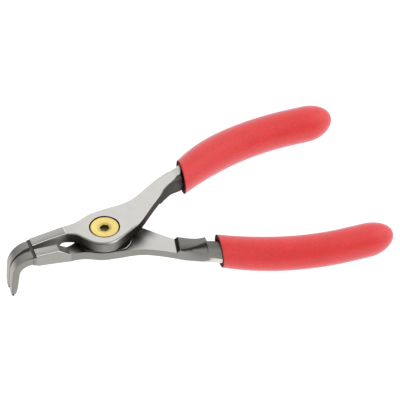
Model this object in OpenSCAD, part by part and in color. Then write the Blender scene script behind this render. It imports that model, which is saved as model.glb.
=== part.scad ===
// Outside circlip pliers with tips bent down, for rings on small shafts.
// The pliers lie flat: +X runs from the pivot along the handles, +Z is up, and the tips point down.
// The origin is on the pivot axis, in the plane of the ground top face.

/* [Joint] */
// Thickness of each half where the halves lie on one another
plate_t = 4.2; // [3.8:0.1:5]
// Radius of the rounded boss around the pivot
boss_r = 8.7; // [8.2:0.1:10]
// Radius of the raised round seat that the halves turn on
seat_r = 9.9; // [9:0.1:11]
// Height of the seat above the lap face of the arm
seat_h = 0.6; // [0.3:0.1:1]
// Space between the two seats
lap_gap = 0.1; // [0.06:0.02:0.2]
// Distance from the pivot to the step that ends the lap recess on the arm
lap_back = 22.4; // [20:0.2:24]
// Distance from the pivot to the foot of the ramp that ends the lap recess on the jaw
lap_front = 14.2; // [13.4:0.2:15.4]

/* [Jaws] */
// Distance from the pivot to the crease where the ground jaw face begins
jaw_start = 13.8; // [13:0.2:14.6]
// Distance from the pivot to the start of the bend
bend_start = 27.3; // [25:0.1:30]
// Width of one jaw
jaw_w = 4; // [3.4:0.1:4.6]
// Space between the jaws with the tips together
jaw_gap = 1.5; // [1:0.1:2]
// Thickness of one jaw where it meets the bend
jaw_t = 4.6; // [4.2:0.1:5]
// Height of the top of a jaw above the plane between the halves, where it meets the bend
jaw_top = 2; // [1.8:0.1:2.3]
// Depth of the groove across each jaw before the bend
groove_d = 0.45; // [0.2:0.05:0.7]
// Width of the groove across each jaw
groove_w = 1.1; // [0.8:0.1:1.4]

/* [Tips] */
// Radius of the bend, to the middle of the jaw
bend_r = 6.3; // [5:0.1:8]
// Angle that the tips are bent down by
bend_deg = 84; // [75:1:90]
// Depth of the tip ends below the plane between the halves
tip_drop = 15.5; // [13.5:0.1:18]
// Thickness of a tip just after the bend
tip_t = 2.7; // [2.3:0.1:3.2]
// Width of a tip just after the bend
tip_w = 3.6; // [3.2:0.1:4.1]
// Space between the tips when they are together
tip_gap = 0.4; // [0.3:0.1:0.6]
// Thickness and width of a tip at its very end
tip_end = 1.7; // [1.5:0.1:2]
// Distance between the two tip pins when the tips are together
pin_spacing = 4.4; // [4:0.1:4.8]
// Diameter of a tip pin
pin_d = 0.9; // [0.7:0.05:1]
// Length of a tip pin beyond the end of its tip
pin_out = 1.2; // [0.8:0.1:2]
// Length of the shank of a tip pin, pressed into its tip
pin_in = 3; // [2:0.5:4]
// Diameter of the tapered shank of a tip pin, at the end of the tip
shank_d = 1.1; // [1.05:0.05:1.2]
// Diameter of the shank at its inner end
shank_end_d = 0.8; // [0.7:0.05:0.95]

/* [Handles] */
// Distance from the pivot to the end of the grips
handle_len = 96; // [90:0.2:104]
// Distance between the middles of the two handles at their ends
handle_spread = 63; // [61:0.2:66]
// Radius of the arc that each handle follows
handle_r = 91; // [88:1:98]
// Distance from the pivot to where the handle becomes straight
handle_flat = 79.4; // [78:0.2:81]
// How far the arm reaches outwards from the middle line of its handle, where the lap ends
arm_out = 5; // [4.6:0.1:5.4]
// How far the arm reaches inwards from that line, where the lap ends
arm_in = 3.9; // [3.4:0.1:4.4]
// How far the neck before the grip reaches outwards from that line
neck_out = 4.2; // [3.8:0.1:4.6]
// How far the neck before the grip reaches inwards from that line
neck_in = 2.7; // [2.4:0.1:3.4]
// Width of the steel tang inside the grip
tang_w = 8; // [7.2:0.1:8.4]
// Height of the steel tang inside the grip
tang_h = 7.8; // [7:0.1:8.2]

/* [Grips] */
// Distance from the pivot to the open mouth of the grips
grip_start = 35; // [34:0.2:36]
// Width of a grip
grip_w = 12.4; // [12:0.1:14]
// Height of a grip
grip_h = 12.4; // [12:0.1:14]
// Share of its full size that a grip has at its mouth
mouth_share = 0.92; // [0.9:0.01:0.98]
// Length over which a grip grows from its mouth to its full size
flare_len = 18; // [12:1:24]
// How far the mouth of a grip stands off the tang
mouth_gap = 0.5; // [0.3:0.1:0.7]
// Length over which the mouth closes down on the tang
mouth_len = 5; // [3:0.5:8]
// Length of the rounded end of a grip
dome_len = 10; // [8:0.5:11]
// How far the rounded end turns up
nose_lift = 0.6; // [0:0.1:1]
// Solid rubber between the end of the tang and the end of the grip
grip_cap = 9.5; // [9:0.5:12]

/* [Pivot screw] */
// Diameter of the screw head
head_d = 10.3; // [9.4:0.1:10.8]
// Height of the screw head
head_h = 1.7; // [1.5:0.1:1.9]
// Gap around the screw head in its counterbore
head_gap = 0.4; // [0.3:0.05:0.5]
// How far the head lies below the top face
head_sink = 0.12; // [0.05:0.01:0.3]
// Diameter of the plain part that the upper half turns on
shoulder_d = 6; // [5.4:0.1:6.4]
// Diameter of the threaded end
thread_d = 4.6; // [4:0.1:4.8]
// Width across flats of the socket for the key
hex_af = 3; // [2.5:0.5:3.5]
// Depth of the socket
hex_depth = 1.5; // [1:0.1:2]
// Thickness of the spring washer under the head
washer_t = 0.5; // [0.4:0.05:0.6]
// Diameter of the nut head
nut_d = 9; // [8.4:0.1:9.6]
// Height of the nut head
nut_h = 1.4; // [1.2:0.1:1.6]

/* [Hidden] */

$fn = 64;
// Clearances of the fits
run_fit = 0.05;
loose_fit = 0.1;
tang_fit = 0.1;
press_fit = 0.01;
// Reach of a cutting tool past the face that it cuts
past = 0.5;
// Distance that keeps two neighbouring sections apart
hair = 0.01;

// Points on each rounded corner of a section, and on half of a grip
corner_n = 2;
grip_n = 12;
// Rounding of the ground edges, and of the tip edges
edge = 0.5;
tip_edge = 0.4;
// Least size of a side of a section, as a multiple of the rounding of its corners
side_room = 2.2;

// Depth of the underside of a jaw below the plane between the halves
jaw_under = jaw_t - jaw_top;
// How much wider a jaw is at its root than at the bend, and how much narrower the tip is than the jaw
jaw_swell = 0.15;
tip_inset = 0.25;
// Bend: how far the tip reaches past it, and the length of the straight tip below it
bend_end_x = bend_start + bend_r * sin(bend_deg);
bend_end_z = -bend_r * (1 - cos(bend_deg));
tip_len = (tip_drop + bend_end_z) / sin(bend_deg);
// Share of the tip length over which the end is drawn to a point
point_share = 0.3;
// Thickness and width that the tip loses before its point
tip_thin = 0.35;
tip_narrow = 0.3;
tip_in = tip_gap / 2;

// Length of the ramp on the lap side of a jaw
ramp_front = 3.8;
// Rise and length of the step in the lap recess of the arm
step_rise = 1;
step_run = 0.9;
// Length of the ramp behind the step, and the share of the plate thickness that it climbs to
ramp_back = 9;
ramp_share = 0.9;

// From the lap step back to the widest arm and on to the end of the flat face, and from the mouth to the tang
arm_before = 2;
face_after = 3;
tang_after = 5;

// Share of the section that is rounded off in the grip, and shrinking of the ends of tang and hollow
oval_share = 0.85;
tang_nose = 0.6;
hollow_nose = 0.7;
nose_len = 2;
// Room around the tang for the flats of the hollow in the grip
hollow_room = 1.06;
// Rounding of the lip of a grip, and the angle at which its rounded end is closed
lip = 0.3;
dome_deg = 82;
dome_steps = 6;

// Pivot heights, from the top face down
head_top = plate_t - head_sink;
head_floor = head_top - head_h;
washer_floor = head_floor - washer_t;
nut_floor = -plate_t + nut_h + head_sink;
nut_face = nut_floor - nut_h;
shoulder_end = -plate_t / 3;
// Dish and rim of the screw head, and how far the screw ends inside the nut
head_dish = 0.25;
head_rim = 0.3;
dish_start = 0.75;
screw_short = 0.2;
// Step between the head and the smaller washer under it
washer_step = 0.4;
// Barrel of the nut, which stands up into the lower half
nut_barrel_d = shoulder_d + 0.4;
// Two holes in the nut for a pin spanner: size, distance from the rim, share of the nut height
spanner_d = 1.2;
spanner_r = nut_d / 2 - spanner_d;
spanner_share = 0.7;

// Slope of a smooth curve at one of its [x, value] stations
function slope(p, i) =
    let (a = max(i - 1, 0), b = min(i + 1, len(p) - 1))
    (p[b][1] - p[a][1]) / (p[b][0] - p[a][0]);
// Number of the stretch of a curve that holds x
function stretch(p, x, i = 0) = i >= len(p) - 2 || x < p[i + 1][0] ? i : stretch(p, x, i + 1);
// Value at x of the smooth curve through the stations p
function curve(p, x) =
    let (
        i = stretch(p, x),
        h = p[i + 1][0] - p[i][0],
        u = min(max((x - p[i][0]) / h, 0), 1),
        v = 1 - u
    )
    p[i][1] * (1 + 2 * u) * v * v + p[i + 1][1] * (1 + 2 * v) * u * u
    + h * u * v * (slope(p, i) * v - slope(p, i + 1) * u);

// Middle line of a handle: an arc that ends parallel to the axis
function handle_y(x) =
    let (d = max(handle_flat - x, 0))
    handle_spread / 2 - handle_r + sqrt(handle_r * handle_r - d * d);
// Lengthening of a width that is cut across the axis instead of across the handle
function oblique(x) =
    let (d = max(handle_flat - x, 0))
    handle_r / sqrt(handle_r * handle_r - d * d);
function tang_half(x) = tang_w / 2 * oblique(x);

// Places along the half: end of the arm, neck before the grip, full tang inside the grip, end of the tang
arm_x = lap_back - arm_before;
neck_x = (lap_back + grip_start) / 2;
tang_x = grip_start + tang_after;
tang_end = handle_len - grip_cap;

// Outer edge of a half seen from above: jaw, flank of the boss as shares of its radius, arm, tang
outer_edge = [
    [-bend_start, jaw_gap / 2 + jaw_w],
    [-jaw_start, jaw_gap / 2 + jaw_w + jaw_swell],
    [-boss_r * 1.03, boss_r * 0.63],
    [-boss_r * 0.4, boss_r * 0.9],
    [boss_r * 0.23, boss_r],
    [boss_r * 1.05, boss_r * 1.07],
    [boss_r * 1.6, boss_r * 1.24],
    [arm_x, handle_y(arm_x) + arm_out],
    [neck_x, handle_y(neck_x) + neck_out],
    [grip_start, handle_y(grip_start) + tang_half(grip_start)],
    [tang_x, handle_y(tang_x) + tang_half(tang_x)]
];
// Inner edge: jaw, hollow behind the jaw and round of the boss as shares of its radius, arm, tang
inner_edge = [
    [-bend_start, jaw_gap / 2],
    [-jaw_start - 1, jaw_gap / 2],
    [-boss_r * 1.2, -boss_r * 0.15],
    [-boss_r * 0.97, -boss_r * 0.46],
    [-boss_r * 0.68, -boss_r * 0.79],
    [-boss_r * 0.36, -boss_r * 0.95],
    [0, -boss_r],
    [boss_r * 0.4, -boss_r * 0.96],
    [boss_r * 0.82, -boss_r * 0.77],
    [boss_r * 1.45, -boss_r * 0.27],
    [arm_x, handle_y(arm_x) - arm_in],
    [neck_x, handle_y(neck_x) - neck_in],
    [grip_start, handle_y(grip_start) - tang_half(grip_start)],
    [tang_x, handle_y(tang_x) - tang_half(tang_x)]
];
function outer_y(x) = x > tang_x ? handle_y(x) + tang_half(x) : curve(outer_edge, x);
function inner_y(x) = x > tang_x ? handle_y(x) - tang_half(x) : curve(inner_edge, x);

// Depth of the groove across the jaw at x
function groove(x) = abs(x + bend_start - groove_w / 2) < groove_w / 2 - hair ? groove_d : 0;
// Distance of the outer face from the plane between the halves, with the jaw's own distance at the bend
function face_h(x, jaw) =
    lookup(x, [
        [-bend_start, jaw],
        [-jaw_start, plate_t],
        [lap_back + face_after, plate_t],
        [grip_start, tang_h / 2]
    ]) - groove(x);
// Distance of the lap face beyond that plane, less than 0 where the lap is recessed
function lap_h(x, jaw) =
    lookup(x, [
        [-lap_front - ramp_front, jaw],
        [-lap_front, -seat_h],
        [lap_back, -seat_h],
        [lap_back + step_run, step_rise - seat_h],
        [lap_back + ramp_back, plate_t * ramp_share],
        [grip_start, tang_h / 2]
    ]) - groove(x);
// Share of the half section that is rounded off: ground edges at the boss, nearly oval in the grip
function round_share(x) = lookup(x, [[lap_back, 0], [grip_start - 1, oval_share]]);

// One rounded section, as points across the half and up from its middle
function section(y0, y1, z0, z1, share, r) =
    let (
        ry = max(min(r, (y1 - y0) / side_room), share * (y1 - y0) / 2),
        rz = max(min(r, (z1 - z0) / side_room), share * (z1 - z0) / 2)
    )
    [for (q = [0:3])
        for (k = [0:corner_n])
            let (a = q * 90 + k * 90 / corner_n)
            [
                (q == 0 || q == 3 ? y1 - ry : y0 + ry) + ry * cos(a),
                (q < 2 ? z1 - rz : z0 + rz) + rz * sin(a)
            ]
    ];

// Section points set upright at x
function upright(x, pts) = [for (p = pts) [x, p[0], p[1]]];
// Section points of the bend after turning by b, at a distance s below the end of the turn
function turned(b, s, pts) =
    let (
        px = -bend_start - bend_r * sin(b) - s * cos(b),
        pz = -bend_r * (1 - cos(b)) - s * sin(b)
    )
    [for (p = pts) [px - p[1] * sin(b), p[0], pz + p[1] * cos(b)]];

// Tip: share t of its straight length, 0 below the bend and 1 at the end
function tip_thick(t) = lookup(t, [[0, tip_t], [1 - point_share, tip_t - tip_thin], [1, tip_end]]);
function tip_y0(t) = lookup(t, [[1 - point_share, tip_in], [1, (pin_spacing - tip_end) / 2]]);
function tip_y1(t) = lookup(t, [
    [0, tip_in + tip_w],
    [1 - point_share, tip_in + tip_w - tip_narrow],
    [1, (pin_spacing + tip_end) / 2]
]);
tip_stations = [1, 1 - point_share / 2, 1 - point_share, (1 - point_share) / 2, 0];
tip_rings = [for (t = tip_stations)
    turned(bend_deg, t * tip_len,
        section(tip_y0(t), tip_y1(t), -tip_thick(t) / 2, tip_thick(t) / 2, 0, tip_edge))];
// Bend: the section grows from the tip to the jaw
bend_steps = 8;
function grown(jaw, tip, f) = jaw + (tip - jaw) * f;
bend_rings = [for (i = [bend_steps - 1:-1:0])
    let (f = i / bend_steps)
    turned(f * bend_deg, 0,
        section(grown(jaw_gap / 2, tip_in, f),
                grown(jaw_gap / 2 + jaw_w - tip_inset, tip_in + tip_w, f),
                grown(groove_d - jaw_under, -tip_t / 2, f),
                grown(jaw_top - groove_d, tip_t / 2, f),
                0, tip_edge))];

// Places along the half where its section is taken
boss_end = boss_r * 1.36;
body_stations = [
    each [for (share = [0.1, 0.9, 1]) -bend_start + groove_w * share],
    each [-lap_front - ramp_front - 3, -lap_front - ramp_front, -lap_front - 1, -lap_front, -jaw_start + 1],
    each [for (i = [-9:9]) boss_end * i / 9],
    each [for (i = [1:8]) boss_end + (lap_back - boss_end) * i / 8],
    each [for (i = [0:5]) lap_back + step_run + (ramp_back - step_run) * i / 5],
    each [for (i = [0:8]) grip_start + (tang_end - nose_len - grip_start) * i / 8],
    tang_end
];
// Rounding off of the last station of the tang
function end_share(x) = x > tang_end - hair ? tang_nose : 1;

function body_ring(x, out_up) =
    let (
        up = out_up ? face_h(x, jaw_top) : lap_h(x, jaw_top),
        down = out_up ? lap_h(x, jaw_under) : face_h(x, jaw_under),
        mid_y = (outer_y(x) + inner_y(x)) / 2,
        half_y = (outer_y(x) - inner_y(x)) / 2 * end_share(x)
    )
    upright(x, section(mid_y - half_y, mid_y + half_y, -down * end_share(x), up * end_share(x),
                       round_share(x), edge));

// Solid through a row of rings that have the same number of points
module skin(rings) {
    m = len(rings[0]);
    n = len(rings);
    sides = [for (i = [0:n - 2])
        for (j = [0:m - 1])
            for (t = [0, 1])
                let (a = i * m + j, b = i * m + (j + 1) % m)
                t == 0 ? [a + m, b + m, b] : [a + m, b, a]];
    first = [for (j = [0:m - 1]) j];
    last = [for (j = [m - 1:-1:0]) (n - 1) * m + j];
    polyhedron([for (r = rings) each r], concat(sides, [first, last]));
}

// Carries a piece from the plane between the halves to the origin on the top face
module from_top() {
    translate([0, 0, -plate_t]) children();
}

// Forged half: out_up is true where its ground outer face looks up
module forging(out_up) {
    skin(concat(tip_rings, bend_rings, [for (x = body_stations) body_ring(x, out_up)]));
}

// Plan of the half around the pivot, a little inside its walls
module boss_plan() {
    xs = [for (i = [-9:9]) seat_r * i / 9];
    polygon(concat(
        [for (x = xs) [x, outer_y(x) - edge]],
        [for (i = [len(xs) - 1:-1:0]) [xs[i], inner_y(xs[i]) + edge]]
    ));
}

// Raised seat on the lap face, from the plane between the halves into the plate above it
module seat() {
    translate([0, 0, lap_gap / 2])
        intersection() {
            cylinder(r = seat_r, h = seat_h + past);
            linear_extrude(seat_h + past) boss_plan();
        }
}

// Carries a pin to the end of its tip, pointing along the tip
module along_tip() {
    translate([-bend_end_x - tip_len * cos(bend_deg), pin_spacing / 2, -tip_drop])
        rotate([0, 270 - bend_deg, 0])
            children();
}

// Tapered hole in a tip for the shank of its pin
module pin_hole() {
    wider = (shank_d - shank_end_d) / pin_in * past;
    along_tip()
        translate([0, 0, -pin_in])
            cylinder(d1 = shank_end_d + 2 * press_fit,
                     d2 = shank_d + 2 * press_fit + wider,
                     h = pin_in + past);
}

module tip_pin() {
    point = pin_d / 5;
    color("#3a3734")
        from_top()
            along_tip()
                rotate_extrude()
                    polygon([
                        [0, -pin_in],
                        [shank_end_d / 2, -pin_in],
                        [shank_d / 2, 0],
                        [pin_d / 2, 0],
                        [pin_d / 2, pin_out - point],
                        [pin_d / 2 - point, pin_out],
                        [0, pin_out]
                    ]);
}

module upper_lever() {
    color("#cfcdc8")
        from_top() difference() {
            union() {
                forging(true);
                seat();
            }
            pin_hole();
            translate([0, 0, -past])
                cylinder(d = shoulder_d + 2 * run_fit, h = plate_t + 2 * past);
            translate([0, 0, washer_floor])
                cylinder(d = head_d + 2 * head_gap, h = plate_t);
        }
}

module lower_lever() {
    color("#c6c4bf")
        from_top() difference() {
            mirror([0, 1, 0])
                union() {
                    forging(false);
                    mirror([0, 0, 1]) seat();
                }
            mirror([0, 1, 0]) pin_hole();
            translate([0, 0, -plate_t - past])
                cylinder(d = nut_barrel_d + 2 * loose_fit, h = plate_t + 2 * past);
            translate([0, 0, -plate_t - past])
                cylinder(d = nut_d + 2 * loose_fit, h = nut_floor + plate_t + past);
        }
}

module upper_tip_pin() {
    tip_pin();
}

module lower_tip_pin() {
    mirror([0, 1, 0]) tip_pin();
}

module pivot_screw() {
    color("#ecd069")
        from_top() difference() {
            rotate_extrude()
                polygon([
                    [0, nut_face + screw_short],
                    [thread_d / 2, nut_face + screw_short],
                    [thread_d / 2, shoulder_end],
                    [shoulder_d / 2, shoulder_end],
                    [shoulder_d / 2, head_floor],
                    [head_d / 2, head_floor],
                    [head_d / 2, head_top - head_rim],
                    [head_d / 2 - head_rim, head_top],
                    [head_d / 2 - 2 * head_rim, head_top],
                    [hex_af * dish_start, head_top - head_dish],
                    [0, head_top - head_dish]
                ]);
            translate([0, 0, head_top - head_dish - hex_depth])
                cylinder(d = hex_af / cos(30), h = hex_depth + past, $fn = 6);
        }
}

module spring_washer() {
    color("#4c4a46")
        from_top() translate([0, 0, washer_floor])
            difference() {
                cylinder(d = head_d - washer_step, h = washer_t);
                translate([0, 0, -past])
                    cylinder(d = shoulder_d + 2 * loose_fit, h = washer_t + 2 * past);
            }
}

module pivot_nut() {
    color("#e0c25c")
        from_top() difference() {
            union() {
                translate([0, 0, nut_face]) cylinder(d = nut_d, h = nut_h);
                translate([0, 0, nut_face])
                    cylinder(d = nut_barrel_d, h = shoulder_end - nut_face - loose_fit);
            }
            translate([0, 0, -plate_t - past])
                cylinder(d = thread_d + 2 * run_fit, h = plate_t + 2 * past);
            for (side = [-1, 1])
                translate([side * spanner_r, 0, nut_face - past])
                    cylinder(d = spanner_d, h = nut_h * spanner_share + past);
        }
}

// Oval ring of a grip at x, as a share of its size there, lifted in the rounded end
function flare(x) = 1 - (1 - mouth_share) * pow(max(1 - (x - grip_start) / flare_len, 0), 2);
function grip_ring(x, share, lift = 0) =
    [for (k = [0:2 * grip_n - 1])
        let (a = k * 180 / grip_n)
        [
            x,
            handle_y(x) + grip_w / 2 * oblique(x) * flare(x) * share * cos(a),
            lift + grip_h / 2 * flare(x) * share * sin(a)
        ]];
// Hollow of a grip at x: the tang and the room around it
function hollow_ring(x) =
    let (
        room = tang_fit + mouth_gap * pow(max(1 - (x - grip_start) / mouth_len, 0), 2),
        shrink = x > tang_end - hair ? hollow_nose : 1
    )
    [for (k = [0:2 * grip_n - 1])
        let (a = k * 180 / grip_n)
        [
            x + (shrink < 1 ? tang_fit : 0),
            handle_y(x) + (tang_half(x) * hollow_room + room) * shrink * cos(a),
            (tang_h / 2 * hollow_room + room) * shrink * sin(a)
        ]];
// Places along the hollow, from its end to the mouth
hollow_len = tang_end - nose_len - grip_start - mouth_len;
hollow_stations = [
    tang_end,
    each [for (i = [8:-1:0]) grip_start + mouth_len + hollow_len * i / 8],
    each [for (share = [0.5, 0]) grip_start + mouth_len * share]
];
// Length of a grip between its lip and its rounded end
barrel_len = handle_len - dome_len - grip_start - lip;

module grip() {
    color("#dd4443")
        from_top() skin(concat(
            [for (x = hollow_stations) hollow_ring(x)],
            [grip_ring(grip_start, 1 - 2 * lip / grip_h)],
            [for (i = [0:14]) grip_ring(grip_start + lip + barrel_len * i / 14, 1)],
            [for (i = [1:dome_steps])
                let (
                    a = dome_deg * i / dome_steps,
                    reach = sin(a) / sin(dome_deg)
                )
                grip_ring(handle_len - dome_len * (1 - reach), cos(a), nose_lift * reach * reach)]
        ));
}

module upper_grip() {
    grip();
}

module lower_grip() {
    mirror([0, 1, 0]) grip();
}

upper_lever();
lower_lever();
upper_tip_pin();
lower_tip_pin();
pivot_screw();
spring_washer();
pivot_nut();
upper_grip();
lower_grip();
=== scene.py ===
"""Outside circlip pliers with bent tips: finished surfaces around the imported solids, with a plain stage."""
import math

import bpy
import bmesh
import numpy as np
from bpy.props import FloatProperty, FloatVectorProperty, PointerProperty
from bpy.types import Operator, Panel, PropertyGroup
from mathutils import Matrix, Vector


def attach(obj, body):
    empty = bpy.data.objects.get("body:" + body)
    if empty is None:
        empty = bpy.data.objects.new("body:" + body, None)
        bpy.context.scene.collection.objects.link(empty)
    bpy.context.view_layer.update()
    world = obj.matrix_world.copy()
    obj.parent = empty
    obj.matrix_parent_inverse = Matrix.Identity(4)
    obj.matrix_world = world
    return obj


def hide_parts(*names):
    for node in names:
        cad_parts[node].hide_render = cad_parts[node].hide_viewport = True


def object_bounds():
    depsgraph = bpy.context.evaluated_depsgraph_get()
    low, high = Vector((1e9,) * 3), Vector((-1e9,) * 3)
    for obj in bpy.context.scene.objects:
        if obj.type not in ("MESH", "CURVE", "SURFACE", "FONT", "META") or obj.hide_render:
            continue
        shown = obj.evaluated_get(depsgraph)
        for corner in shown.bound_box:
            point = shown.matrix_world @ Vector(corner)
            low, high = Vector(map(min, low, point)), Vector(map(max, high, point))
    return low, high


bl_info = {
    "name": "Circlip pliers",
    "version": (1, 0, 0),
    "blender": (4, 5, 0),
    "location": "View3D > Sidebar > Pliers",
    "description": "Builds outside circlip pliers with bent tips, piece by piece",
    "category": "Object",
}

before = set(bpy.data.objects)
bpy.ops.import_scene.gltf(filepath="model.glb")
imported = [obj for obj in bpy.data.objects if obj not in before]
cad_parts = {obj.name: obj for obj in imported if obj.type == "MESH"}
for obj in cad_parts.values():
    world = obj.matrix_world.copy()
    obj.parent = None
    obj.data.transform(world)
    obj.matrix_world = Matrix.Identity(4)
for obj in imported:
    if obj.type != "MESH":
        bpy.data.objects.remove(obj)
CAD_BOX = [list(corner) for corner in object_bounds()]
MM = 0.001
# Points on each rounded corner of a lever section, and around a round piece
CORNER = 7
ROUND = 96
# Points closer than the first distance are one point, and faces thinner than the second one vanish
MERGE = 1e-7
SLIVER = 1e-8
# A hair's breadth: the ring that closes a turned piece, its sharp creases, and stations too close together
HAIR = 0.02 * MM
# Half the length of a crease, and distance of the support points from the corners of a section
CREASE = 0.06 * MM
SUPPORT = 0.2 * MM
# Places of the arm from the pivot: widest part, neck, first full oval of the tang, and its even part
ARM_AT = 20.4 * MM
NECK_AT = 28.7 * MM
OVAL_AT = 35 * MM
EVEN_AT = 40 * MM
# Distances from the pivot where the rounding and the wear of the boss begin to fade, and where they end
BOSS_FADE = (8 * MM, 14 * MM)
HALVES = (("upper", True), ("lower", False))


def to_linear(colour):
    """Linear red, green and blue of an sRGB hex colour."""
    parts = [int(colour[i:i + 2], 16) / 255 for i in (1, 3, 5)]
    return tuple(c / 12.92 if c <= 0.04045 else ((c + 0.055) / 1.055) ** 2.4 for c in parts)


def length(name, mm, description):
    """A length property, given in millimetres and kept in metres."""
    return FloatProperty(name=name, description=description, default=mm * MM, unit="LENGTH", precision=5)


def share(name, value, description):
    """A property between 0 and 1."""
    return FloatProperty(name=name, description=description, default=value, min=0, max=1, subtype="FACTOR")


def angle(name, degrees, description):
    """An angle property, given in degrees and kept in radians."""
    return FloatProperty(name=name, description=description, default=math.radians(degrees), subtype="ANGLE")


def number(name, value, description):
    """A plain number."""
    return FloatProperty(name=name, description=description, default=value)


def tint(name, colour, description):
    """A colour property, given as an sRGB hex value and kept as linear colour."""
    return FloatVectorProperty(name=name, description=description, default=to_linear(colour), size=3,
                               min=0, max=1, subtype="COLOR")


class LeverSizes(PropertyGroup):
    """Sizes of the two forged halves."""
    plate_t: length("Plate", 4.2, "Thickness of each half at the joint")
    boss_r: length("Boss radius", 8.7, "Radius of the rounded boss around the pivot")
    seat_r: length("Seat radius", 9.9, "Radius of the raised seat that the halves turn on")
    seat_h: length("Seat height", 0.6, "Height of the seat above the lap face")
    lap_gap: length("Lap gap", 0.1, "Space between the two seats")
    recess: length("Recess", 1.2, "Depth of the lap face below the plane between the halves, behind the seat")
    lap_back: length("Lap step", 22.25, "Distance from the pivot to the step that ends the lap recess")
    lap_front: length("Lap ramp", 14.2, "Distance from the pivot to the foot of the ramp on the jaw")
    jaw_start: length("Jaw crease", 13.8, "Distance from the pivot to the crease of the jaw face")
    bend_start: length("Bend start", 27.3, "Distance from the pivot to the start of the bend")
    jaw_w: length("Jaw width", 4.0, "Width of one jaw")
    jaw_gap: length("Jaw gap", 1.5, "Space between the jaws")
    jaw_t: length("Jaw thickness", 4.6, "Thickness of a jaw at the bend")
    jaw_top: length("Jaw top", 2.0, "Height of the jaw top above the plane between the halves")
    groove_d: length("Groove depth", 0.45, "Depth of the groove before the bend")
    groove_w: length("Groove width", 1.1, "Width of the groove before the bend")
    bend_r: length("Bend radius", 6.3, "Radius of the bend to the middle of the jaw")
    bend_deg: angle("Bend", 84, "Angle that the tips are bent down by")
    tip_drop: length("Tip drop", 15.5, "Depth of the tip ends below the plane between the halves")
    tip_t: length("Tip thickness", 2.7, "Thickness of a tip after the bend")
    tip_w: length("Tip width", 3.6, "Width of a tip after the bend")
    tip_gap: length("Tip gap", 0.4, "Space between the tips")
    tip_end: length("Tip end", 1.7, "Thickness and width of a tip at its end")
    pin_spacing: length("Pin spacing", 4.4, "Distance between the tip pins")
    handle_spread: length("Handle spread", 63.0, "Distance between the handles at their ends")
    handle_r: length("Handle radius", 91.0, "Radius of the arc of each handle")
    handle_flat: length("Handle flat", 79.4, "Distance from the pivot to where the handle is straight")
    arm_out: length("Arm out", 5.0, "Reach of the arm outwards from the handle line")
    arm_in: length("Arm in", 3.9, "Reach of the arm inwards from the handle line")
    neck_out: length("Neck out", 4.2, "Reach of the neck outwards from the handle line")
    neck_in: length("Neck in", 2.7, "Reach of the neck inwards from the handle line")
    neck_end: length("Neck end", 31.6, "Distance from the pivot to where the round tang begins")
    step_lean: share("Step lean", 0.16, "Lean of the lap step, which follows a circle about the pivot")
    neck_cut: length("Neck cut", 1.6, "How much the lower tang is set back on its inner side before the grip")
    lower_out: length("Lower arm out", 0.35, "How much further out the lower arm reaches than the upper one")
    tang_w: length("Tang width", 8.0, "Width of the tang in the grip")
    tang_h: length("Tang height", 7.8, "Height of the tang in the grip")
    tang_end: length("Tang end", 86.5, "Distance from the pivot to the end of the tang")
    face_edge: length("Face edge", 0.5, "Rounding of the edges of the ground outer face")
    lap_edge: length("Lap edge", 0.2, "Rounding of the edges of the lap face")
    tip_edge: length("Tip edge", 0.4, "Rounding of the edges of the tips")


class GripSizes(PropertyGroup):
    """Sizes of the two pull-on sleeves."""
    upper_size: length("Upper grip", 13.1, "Thickness of the upper sleeve")
    lower_size: length("Lower grip", 12.1, "Thickness of the lower sleeve")
    upper_rise: length("Upper rise", 0.25, "How far the upper sleeve sits above the middle of its tang")
    upper_out: length("Upper out", 0.55, "How far the upper sleeve sits outside the middle of its tang")
    upper_mouth: length("Upper mouth", 34.5, "Distance from the pivot to the mouth of the upper sleeve")
    lower_mouth: length("Lower mouth", 35.4, "Distance from the pivot to the mouth of the lower sleeve")
    end: length("End", 96.0, "Distance from the pivot to the end of the sleeves")
    mouth_d: length("Mouth", 11.3, "Diameter of the mouth of both sleeves")
    mouth_turn: share("Mouth turn", 0.08, "Slant of the mouths, as a shift along the tool per width")
    flare: length("Flare", 18.0, "Length over which a sleeve grows to its full size")
    mouth_gap: length("Mouth gap", 0.18, "Space between the mouth and the tang")
    mouth_len: length("Mouth length", 5.0, "Length over which the mouth closes down on the tang")
    dome: length("Dome", 10.0, "Length of the rounded end")
    nose_lift: length("Nose lift", 0.6, "How far the rounded end turns up")
    lip: length("Lip", 0.35, "Rounding of the rim of the mouth")


class PivotSizes(PropertyGroup):
    """Sizes of the pivot screw and of the pins in the tips."""
    head_d: length("Head", 10.3, "Diameter of the screw head")
    head_h: length("Head height", 1.7, "Height of the screw head")
    head_gap: length("Head gap", 0.28, "Gap around the head in its counterbore")
    head_sink: length("Head sink", 0.12, "How far the head and the nut lie below the outer faces")
    shoulder_d: length("Shoulder", 6.0, "Diameter of the plain part of the screw")
    thread_d: length("Thread", 4.6, "Diameter of the threaded end")
    hex_af: length("Socket", 3.0, "Width across flats of the socket")
    hex_depth: length("Socket depth", 1.5, "Depth of the socket")
    washer_t: length("Washer", 0.5, "Thickness of the spring washer")
    nut_d: length("Nut", 9.0, "Diameter of the nut")
    nut_h: length("Nut height", 1.4, "Height of the nut")
    nut_gap: length("Nut gap", 0.1, "Gap around the nut in its recess")
    pin_d: length("Pin", 0.9, "Diameter of a tip pin")
    pin_out: length("Pin length", 1.2, "Length of a tip pin beyond its tip")
    pin_in: length("Pin shank", 3.0, "Length of the shank of a tip pin")


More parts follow.
